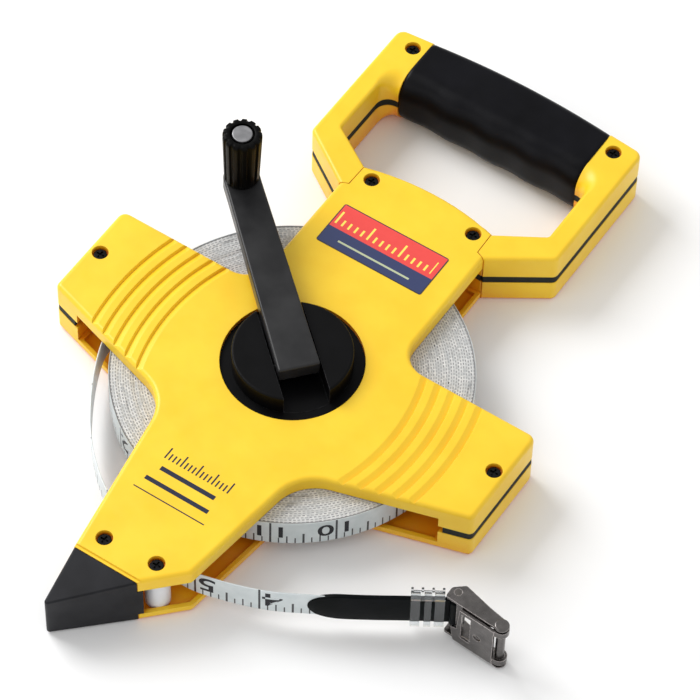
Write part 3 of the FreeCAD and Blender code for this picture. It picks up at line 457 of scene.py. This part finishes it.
def new_piece(name, points, faces, look, body, smooth=True, weld=False, replaced=()):
    """A mesh piece in the row frame that rides on a body and hides the CAD parts it replaces. weld joins rings
    that meet, which closes the skin, and turns its faces outwards."""
    mesh = bpy.data.meshes.new(name)
    mesh.from_pydata([tuple(point) for point in points], [], faces)
    mesh.validate()
    if weld:
        skin = bmesh.new()
        skin.from_mesh(mesh)
        bmesh.ops.remove_doubles(skin, verts=skin.verts, dist=0.001 * MM)
        bmesh.ops.recalc_face_normals(skin, faces=skin.faces)
        skin.to_mesh(mesh)
        skin.free()
    mesh.update()
    piece = bpy.data.objects.new(name, mesh)
    bpy.context.scene.collection.objects.link(piece)
    mesh.materials.append(look.material)
    if smooth:
        for face in mesh.polygons:
            face.use_smooth = True
        mesh.set_sharp_from_angle(angle=math.radians(38))
    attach(piece, body)
    if replaced:
        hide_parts(*replaced)
    return piece


def loft(rings, closed_ends=True):
    """Points and faces of a skin over equal closed rings."""
    count = len(rings[0])
    points = [point for ring in rings for point in ring]
    faces = []
    for i in range(len(rings) - 1):
        for j in range(count):
            k = (j + 1) % count
            faces.append((i * count + j, i * count + k, (i + 1) * count + k, (i + 1) * count + j))
    if closed_ends:
        faces.append(tuple(reversed(range(count))))
        faces.append(tuple(range((len(rings) - 1) * count, len(rings) * count)))
    return points, faces


def rounded_section(low_a, high_a, low_b, high_b, radius_low, radius_high, steps=8):
    """Rounded rectangle in two coordinates; the corners on the low-a side have their own radius."""
    outline = []
    corners = ((high_a, low_b, -90, radius_high), (high_a, high_b, 0, radius_high),
               (low_a, high_b, 90, radius_low), (low_a, low_b, 180, radius_low))
    for a, b, start, radius in corners:
        centre_a = a - radius if a == high_a else a + radius
        centre_b = b - radius if b == high_b else b + radius
        for step in range(steps + 1):
            angle = math.radians(start + 90 * step / steps)
            outline.append((centre_a + radius * math.cos(angle), centre_b + radius * math.sin(angle)))
    return outline


# ---------------------------------------------------------------- handle grip


def make_grip(look):
    """Black grip: crowned outer side, and finger crests on the inner side that fade out on the faces."""
    half, stations = 42.8, 129
    inner_y, outer_y, crown, top = 140.1, 169.9, 2.4, 27.3
    inner_round, outer_round = 10.5, 3.6
    crest_pitch, crest_tall, crest_end, crest_fade = 20.0, 0.8, 153.0, 12.0
    lip_wide, lip_drop = 1.2, 0.45
    middle_y, middle_z, level_band = 154.0, 13.65, 9
    rings = []
    for i in range(stations):
        x = -half + 2 * half * i / (stations - 1)
        outer = outer_y - crown * (x / half) ** 2
        hollow = 0.5 - 0.5 * math.cos(2 * math.pi * x / crest_pitch)
        end = min(1.0, (half - abs(x)) / lip_wide)
        draw_in = lip_drop * (1 - math.sqrt(max(0.0, 1 - (1 - end) ** 2)))
        ring = []
        for y, z in rounded_section(inner_y, outer, 0.0, top, inner_round, outer_round, steps=12):
            reach = max(0.0, min(1.0, (crest_end - y) / crest_fade)) ** 1.3
            y += crest_tall * hollow * reach
            y += draw_in * (1 if y < middle_y else -1)
            z += draw_in * (1 if z < middle_z else -1) * min(1.0, abs(z - middle_z) / level_band)
            ring.append(plan(x, y, z))
        rings.append(ring)
    points, faces = loft(rings)
    new_piece("grip_cover", points, faces, look, "case", weld=True, replaced=["handle_grip"])


# ---------------------------------------------------------------- knob


def make_knob(look):
    """Fluted knob: its flutes start just above the foot, and its top has a well for the pin's cap."""
    joint = JOINTS["knob_spin"]
    axis = Vector(joint["axis"]).normalized()
    side = Vector((-axis.y, axis.x, 0)).normalized()
    other = axis.cross(side)
    start, tall, bore = 4.85, 28.3, 3.2
    base, rim, well, well_deep = 7.1, 7.9, 4.9, 2.4
    flutes, flute_deep, flute_low, flute_from = 13, 0.85, 0.5, 6
    around, steps = 208, 30
    foot = Vector(joint["pos_m"]) + axis * start * MM
    profile = [(bore, 0.0), (base - 0.6, 0.0), (base - 0.15, 0.2), (base, 0.7)]
    profile += [(base + (rim - base) * k / steps, 0.7 + (tall - 3.0) * k / steps)
                for k in range(1, steps + 1)]
    profile += [(rim, tall - 1.6), (rim - 0.12, tall - 0.8), (rim - 0.5, tall - 0.25), (rim - 1.1, tall)]
    profile += [(well + 0.5, tall), (well + 0.1, tall - 0.15), (well, tall - 0.5)]
    profile += [(well, tall - well_deep), (bore, tall - well_deep)]
    rings = []
    for radius, height in profile:
        ring = []
        middle = foot + axis * height * MM
        fade = max(0.0, min(1.0, (height - flute_low) / 1.2))
        for k in range(around):
            angle = 2 * math.pi * k / around
            groove = max(0.0, math.cos(flutes * angle)) ** 0.6
            cut = flute_deep * groove * fade if radius > flute_from else 0.0
            reach = (radius - cut) * MM
            ring.append(middle + side * reach * math.cos(angle) + other * reach * math.sin(angle))
        rings.append(ring)
    rings.append(rings[0])
    points, faces = loft(rings, closed_ends=False)
    new_piece("knob", points, faces, look, "knob", weld=True, replaced=["knob_sleeve"])


# ---------------------------------------------------------------- wound tape


def set_tape_map(piece, spots):
    """UV map in millimetres: spots maps a vertex number to its place along and across the tape."""
    layer = piece.data.uv_layers.new(name="tape_mm")
    for loop in piece.data.loops:
        layer.data[loop.index].uv = spots[loop.vertex_index]


def make_roll(edge_look, face_look):
    """Coil of tape, whose turns stand a little proud of each other on both sides, and its outer turn."""
    inner, outer = 34.0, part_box("tape_roll")[1].x / MM
    bottom, top = TAPE_LOW, TAPE_LOW + TAPE_WIDE
    around, turns = 360, 59
    uneven, sunk, sunk_share, wave = 0.16, 0.18, 0.1, 0.06
    generator = random.Random(11)
    radii = [inner + (outer - 0.3 - inner) * k / (turns - 1) for k in range(turns)]
    lifts = {(side, k): generator.uniform(-uneven, 0.0) - (sunk if generator.random() < sunk_share else 0.0)
             for side in (0, 1) for k in range(turns)}

    def ring_at(radius, z, tremble=0, count=around):
        ring = []
        for k in range(count):
            angle = 2 * math.pi * k / around
            lift = tremble * math.sin(5 * angle + radius) * wave
            ring.append(plan(radius * math.cos(angle), radius * math.sin(angle), z + lift))
        return ring

    rings = [ring_at(radius, bottom - lifts[(0, k)], 1) for k, radius in enumerate(radii)]
    rings += [ring_at(outer, bottom), ring_at(outer, top)]
    rings += [ring_at(radius, top + lifts[(1, k)], 1) for k, radius in reversed(list(enumerate(radii)))]
    rings.append(rings[0])
    points, faces = loft(rings, closed_ends=False)
    new_piece("wound_tape", points, faces, edge_look, "drum", weld=True, replaced=["tape_roll"])
    skin = outer + TURN_THICK
    count = around + 1
    band = [(skin, bottom), (skin, top), (outer, top), (outer, bottom)]
    points = [point for radius, height in band for point in ring_at(radius, height, count=count)]
    faces = []
    for i in range(4):
        for k in range(around):
            after = (i + 1) % 4
            faces.append((i * count + k, i * count + k + 1, after * count + k + 1, after * count + k))
    faces.append((0, count, 2 * count, 3 * count))
    faces.append((count - 1, 4 * count - 1, 3 * count - 1, 2 * count - 1))
    turn = new_piece("outer_turn", points, faces, face_look, "drum")
    spots = []
    for height in (0, TAPE_WIDE, BLANK + TAPE_WIDE, BLANK):
        for k in range(count):
            spots.append((ROLL_ZERO + skin * 2 * math.pi * k / around, height))
    set_tape_map(turn, spots)


# ---------------------------------------------------------------- free tape

def route_points():
    """Points read from the smooth line through the tape's route, in millimetres in the plan."""
    curve = bpy.data.curves.new("tape_route", "CURVE")
    curve.dimensions = "3D"
    curve.resolution_u = 10
    spline = curve.splines.new("NURBS")
    spline.points.add(len(TAPE_ROUTE) - 1)
    middle = TAPE_LOW + TAPE_WIDE / 2
    for point, (x, y) in zip(spline.points, TAPE_ROUTE):
        point.co = (*plan(x, y, middle), 1)
    spline.order_u = 3
    spline.use_endpoint_u = True
    holder = bpy.data.objects.new("tape_route", curve)
    line = bpy.data.meshes.new_from_object(holder)
    points = [vertex.co.copy() for vertex in line.vertices]
    bpy.data.objects.remove(holder)
    return points


def measured(points):
    """Length along the line at each of its points, in millimetres."""
    lengths = [0.0]
    for before, after in zip(points, points[1:]):
        lengths.append(lengths[-1] + (after - before).length / MM)
    return lengths


def side_at(points, i):
    """Unit vector to the outer side of the tape, away from the drum, at one point of its line."""
    before, after = points[max(i - 1, 0)], points[min(i + 1, len(points) - 1)]
    along = (after - before).normalized()
    return Vector((along.y, -along.x, 0))


def spot_on(points, lengths, distance):
    """Point, direction and outer side of the line at a length along it."""
    i = max(k for k in range(len(points) - 1) if lengths[k] <= max(distance, 0))
    share = (distance - lengths[i]) / (lengths[i + 1] - lengths[i])
    side = side_at(points, i).lerp(side_at(points, i + 1), share).normalized()
    return points[i].lerp(points[i + 1], share), Vector((-side.y, side.x, 0)), side


def strip_along(points, half_thick, low, high, edge=0.0):
    """Rings of an upright strip round a line; edge draws its upper and lower corners in."""
    rings = []
    for i, point in enumerate(points):
        side = side_at(points, i) * half_thick * MM
        base = Vector((point.x, point.y, 0))
        ring = []
        for way, height in ((1, low + edge), (1, high - edge), (0, high), (-1, high - edge), (-1, low + edge),
                            (0, low)):
            ring.append(base + side * way + Vector((0, 0, height * MM)))
        rings.append(ring)
    return loft(rings)


def make_free_tape(look):
    """Upright strip of tape along the route, with its map, and its line and the lengths along it."""
    points = route_points()
    lengths = measured(points)
    corners, faces = strip_along(points, 0.22, TAPE_LOW, TAPE_LOW + TAPE_WIDE, edge=0.1)
    tape = new_piece("free_tape", corners, faces, look, "case", replaced=["tape_lead"])
    heights = (0.1, TAPE_WIDE - 0.1, TAPE_WIDE, BLANK + TAPE_WIDE, BLANK, 0)
    set_tape_map(tape, [(lengths[k // 6] - LEAD_ZERO, heights[k % 6]) for k in range(len(corners))])
    return tape, points, lengths


def numeral_points(text, tall):
    """Flat mesh of a numeral, centred on its place, in millimetres."""
    curve = bpy.data.curves.new("numeral", "FONT")
    curve.body = text
    curve.size = tall / 0.7
    curve.offset = 0.020 * tall
    curve.align_x = "CENTER"
    curve.align_y = "CENTER"
    curve.resolution_u = 4
    holder = bpy.data.objects.new("numeral", curve)
    flat = bpy.data.meshes.new_from_object(holder)
    points = [(NUMERAL_WIDE * vertex.co.x, vertex.co.y) for vertex in flat.vertices]
    faces = [tuple(face.vertices) for face in flat.polygons]
    bpy.data.objects.remove(holder)
    return points, faces


def numerals_on(name, marks, where, look, body):
    """Numerals laid on a tape: marks are text, place along, place across and height in millimetres;
    where gives the point of a place along and across. They read from the other side of the reel."""
    points, faces = [], []
    for text, along, across, tall in marks:
        flat, outlines = numeral_points(text, tall)
        first = len(points)
        points += [where(along - x, across - y) for x, y in flat]
        faces += [tuple(first + k for k in outline) for outline in outlines]
    new_piece(name, points, faces, look, body, smooth=False)


def make_sleeve(points, lengths, look):
    """Black sleeve over the last 54 mm of tape, with a round nose and a loop round the hook's pin."""
    start, total, steps = SLEEVE_START, lengths[-1], 60
    middle = TAPE_LOW + TAPE_WIDE / 2
    nose_long, nose_drop, tip_tall, more_tall = 13.0, 0.5, 0.3, 7.2
    tip_thick, more_thick, thicken_over, edge_round = 0.35, 0.55, 3.0, 0.32
    rings = []
    for k in range(steps + 1):
        distance = start + (total - 0.05 - start) * (k / steps) ** 1.4
        spot, _, side = spot_on(points, lengths, distance)
        nose = min(1.0, (distance - start) / nose_long)
        round_nose = math.sqrt(max(0.0, 1 - (1 - nose) ** 2))
        tall = tip_tall + more_tall * round_nose
        centre = middle - nose_drop * (1 - round_nose)
        thick = tip_thick + more_thick * min(1.0, (distance - start) / thicken_over)
        outline = rounded_section(-thick, thick, centre - tall, centre + tall, edge_round, edge_round, steps=4)
        base = Vector((spot.x, spot.y, 0))
        rings.append([base + side * a * MM + Vector((0, 0, b * MM)) for a, b in outline])
    corners, faces = loft(rings)
    sleeve = new_piece("end_sleeve", corners, faces, look, "case", weld=True,
                       replaced=["tape_end_sleeve"])
    pin = Vector(JOINTS["hook_swing"]["pos_m"])
    bottom, top, bevel, around = 5.9, 20.7, 0.25, 48
    bore, face, skin = 1.62, 2.9, 3.15
    turns = [2 * math.pi * k / around for k in range(around)]
    profile = [(bore, bottom), (face, bottom), (skin, bottom + bevel), (skin, top - bevel), (face, top),
               (bore, top)]
    rings = []
    for radius, z in profile:
        centre = Vector((pin.x, pin.y, z * MM))
        rings.append([centre + Vector((math.cos(turn), math.sin(turn), 0)) * radius * MM for turn in turns])
    rings.append(rings[0])
    corners, faces = loft(rings, closed_ends=False)
    loop = new_piece("end_loop", corners, faces, look, "case", weld=True)
    return sleeve, loop


def band_round(spot, along, side, start, end):
    """Points and faces of one closed band of the keeper, round the sleeve."""
    outer_half, outer_low, outer_high, outer_round = 2.1, 3.2, 22.6, 1.3
    inner_half, inner_low, inner_high, inner_round = 1.4, 4.0, 21.6, 0.6
    outer = rounded_section(-outer_half, outer_half, outer_low, outer_high, outer_round, outer_round, steps=5)
    inner = rounded_section(-inner_half, inner_half, inner_low, inner_high, inner_round, inner_round, steps=5)
    rings = []
    for place, outline in ((start, outer), (end, outer), (end, inner), (start, inner), (start, outer)):
        base = Vector((spot.x, spot.y, 0)) + along * place * MM
        rings.append([base + side * a * MM + Vector((0, 0, b * MM)) for a, b in outline])
    return loft(rings, closed_ends=False)


def block(base, along, side, start, end, near, far, low, high):
    """Points and faces of a box in the keeper's own directions."""
    points = [base + along * u * MM + side * a * MM + Vector((0, 0, z * MM))
              for z in (low, high) for u, a in ((start, near), (end, near), (end, far), (start, far))]
    faces = [(0, 3, 2, 1), (4, 5, 6, 7), (0, 1, 5, 4), (1, 2, 6, 5), (2, 3, 7, 6), (3, 0, 4, 7)]
    return points, faces


def make_keeper(points, lengths, look):
    """Clear clip on the sleeve: three bands, a bar across their tops and four small prongs behind it."""
    spot, along, side = spot_on(points, lengths, lengths[-1] - KEEPER_BACK)
    base = Vector((spot.x, spot.y, 0))
    half, near, bar_low, bar_high = 6.4, -2.2, 21.7, 22.7
    prong_half, prong_far, prong_high = 0.45, -1.3, 24.6
    bands = ((-half, -2.8), (-1.2, 1.4), (2.7, half))
    parts = [band_round(spot, along, side, start, end) for start, end in bands]
    parts.append(block(base, along, side, -half, half, near, 2.1, bar_low, bar_high))
    for place in (-5.9, -2.0, 2.0, 5.9):
        start, end = place - prong_half, place + prong_half
        parts.append(block(base, along, side, start, end, near, prong_far, bar_high, prong_high))
    corners, faces = [], []
    for some, outlines in parts:
        first = len(corners)
        corners += some
        faces += [tuple(first + k for k in outline) for outline in outlines]
    return new_piece("clear_keeper", corners, faces, look, "case", smooth=False, weld=True,
                     replaced=["tape_keeper"])


# ---------------------------------------------------------------- print on the lower arm


def make_arm_print(look):
    """Plain print on the lower arm: a thin line, two bars and a scale of ticks."""
    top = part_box("front_shell")[1].z / MM + 0.03
    bars = [(-17.0, 15.5, -82.4, -81.9), (-15.5, 13.5, -77.5, -75.6), (-13.0, 12.0, -71.0, -69.0)]
    ticks, first_x, pitch, half, foot = 17, -14.4, 1.8, 0.32, -65.5
    for k in range(ticks):
        x = first_x + pitch * k
        tall = 5.4 if k % 4 == 0 else 3.2
        bars.append((x - half, x + half, foot, foot + tall))
    points, faces = [], []
    for x0, x1, y0, y1 in bars:
        first = len(points)
        points += [plan(x0, y0, top), plan(x1, y0, top), plan(x1, y1, top), plan(x0, y1, top)]
        faces.append((first, first + 1, first + 2, first + 3))
    new_piece("arm_print", points, faces, look, "case", smooth=False)


# ---------------------------------------------------------------- putting it together


def paint(node, look):
    """Gives a CAD node its material."""
    mesh = NODES[node].data
    mesh.materials.clear()
    mesh.materials.append(look.material)


def paint_cad_nodes():
    looks = {
        yellow_plastic(): ["front_shell", "back_shell", "handle_front_shell", "handle_back_shell"],
        seal_rubber(): ["left_arm_seal", "right_arm_seal", "upper_arm_seal", "crown_seal",
                        "handle_seam_gasket"],
        black_plastic(): ["nose"],
        crank_plastic(): ["crank_arm"],
        hub_plastic(): ["front_hub", "drum_core", "rear_hub", "crank_hinge_pin"],
        black_screw(): ["case_screws", "handle_screws", "hub_screws"],
        white_nylon(): ["mouth_roller"],
        steel_pin(): ["knob_pin", "tape_anchor_pin"],
        nickel(): ["hook_frame", "hook_claw", "hook_pin"],
        dull_nickel(): ["tape_loop_pin"],
        label_film(): ["front_label"],
    }
    for look, names in looks.items():
        for name in names:
            paint(name, look)


def number_lead(points, lengths, ink):
    """The two numerals on the free tape, each beside its inch line."""
    middle, tall = 7.9, 8.2

    def on_lead(along, across):
        spot, _, side = spot_on(points, lengths, along + LEAD_ZERO)
        return Vector((spot.x, spot.y, (TAPE_LOW + across) * MM)) + side * LEAD_PRINT * MM

    marks = [("5", 4.8, middle, tall), ("4", 4.8 + INCH, middle, tall)]
    numerals_on("lead_numerals", marks, on_lead, ink, "case")


def number_roll(ink):
    """Numerals round the roll's outer turn: one digit stands beside its inch line, two straddle it."""
    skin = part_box("tape_roll")[1].x / MM + TURN_THICK + ROLL_PRINT

    def on_roll(along, across):
        angle = (along - ROLL_ZERO) / (skin - ROLL_PRINT)
        return plan(skin * math.cos(angle), skin * math.sin(angle), TAPE_LOW + across)

    middle, tall = 7.6, 7.0
    marks = []
    for k in range(1, int(2 * math.pi * skin / INCH)):
        number = str(1 + (25 - k) % 12)
        if len(number) == 2:
            marks.append((number[0], k * INCH + 4.0, middle, tall))
            marks.append((number[1], k * INCH - 4.2, middle, tall))
        else:
            marks.append((number, k * INCH + 4.2, middle, tall))
    numerals_on("roll_numerals", marks, on_roll, ink, "drum")


def main():
    make_camera()
    tape_look, ink = printed_tape(), black_ink()
    tape, points, lengths = make_free_tape(tape_look)
    sleeve, loop = make_sleeve(points, lengths, black_vinyl())
    keeper = make_keeper(points, lengths, clear_plastic())
    number_lead(points, lengths, ink)
    make_roll(wound_edge(), tape_look)
    number_roll(ink)
    make_grip(grip_rubber())
    make_knob(knob_plastic())
    make_arm_print(print_ink())
    paint_cad_nodes()
    make_studio()


main()
